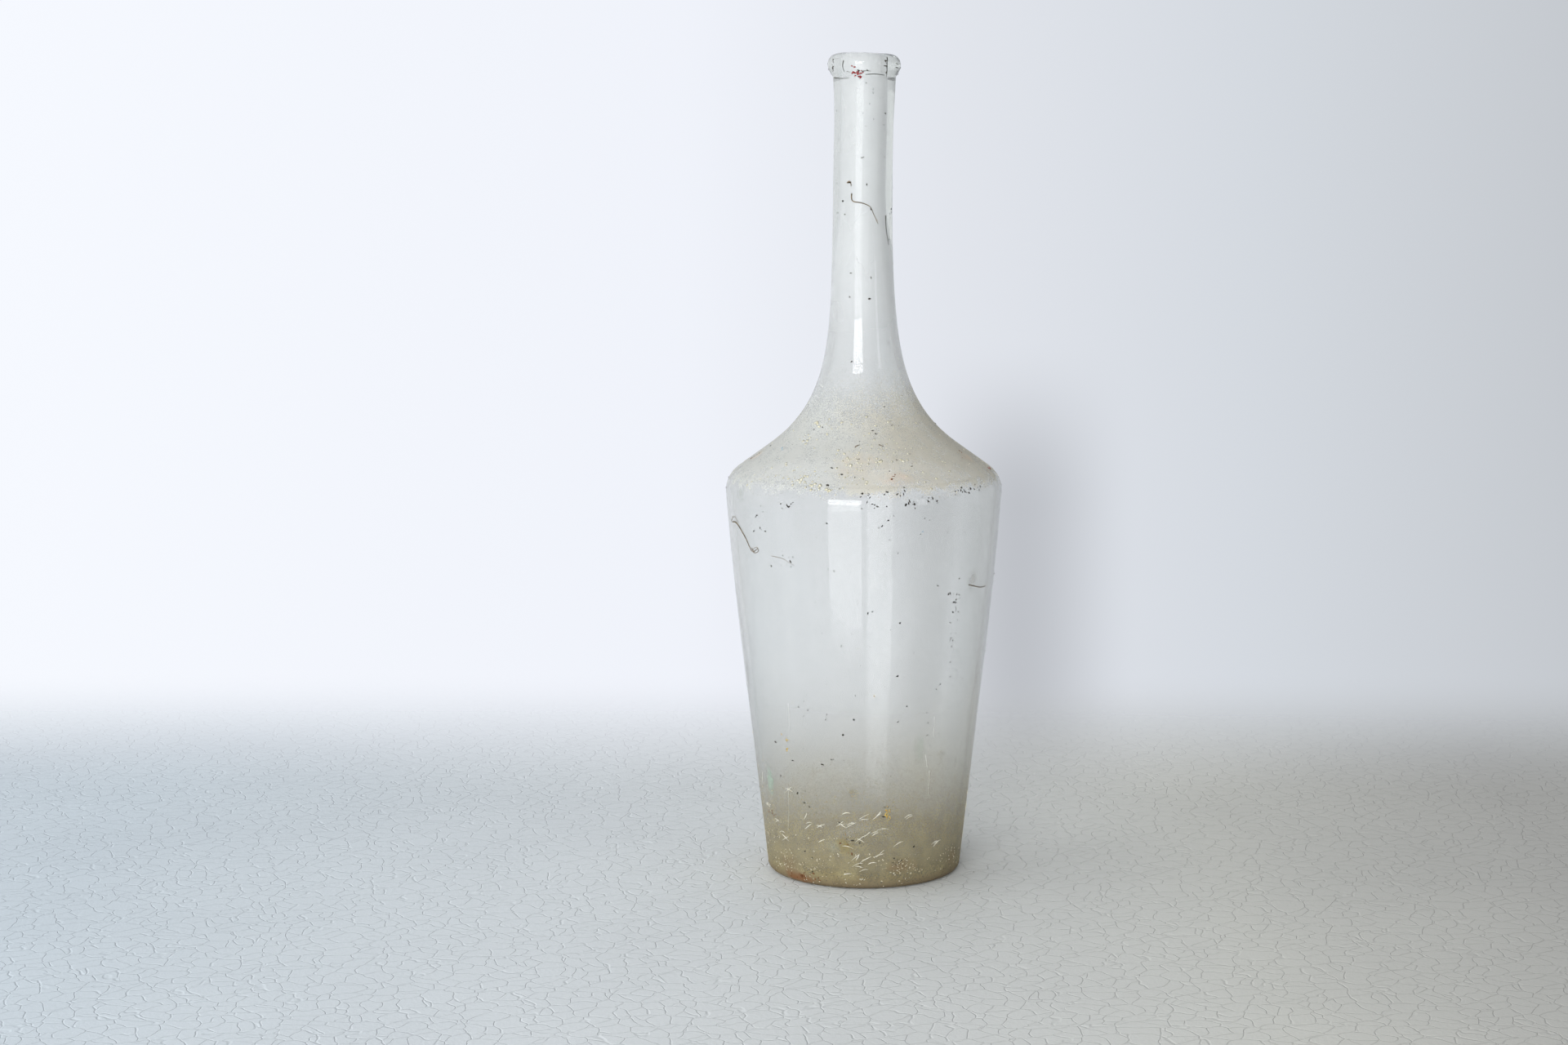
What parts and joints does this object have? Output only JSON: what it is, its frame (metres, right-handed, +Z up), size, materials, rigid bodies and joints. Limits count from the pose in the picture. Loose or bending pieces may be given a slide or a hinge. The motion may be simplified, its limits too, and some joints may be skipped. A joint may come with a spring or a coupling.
{
  "type": "glass bottle",
  "caption": "Old clear glass bottle with a tapering body, rounded shoulder, long slender neck, rounded lip and pushed-up base.",
  "frame": {"origin": "centre of the resting ring, on the surface the bottle stands on", "axes": "+Z up along the bottle's axis, from the base to the mouth; the bottle is round, so +X and +Y are free"},
  "size_m": [0.0926, 0.0926, 0.2742],
  "materials": {
    "glass": "clear, faintly grey-green old glass, hazed by weathering, with soil film at the base and shoulder"
  },
  "bodies": {
    "root": {"bottle": "glass"}
  },
  "joints": []
}
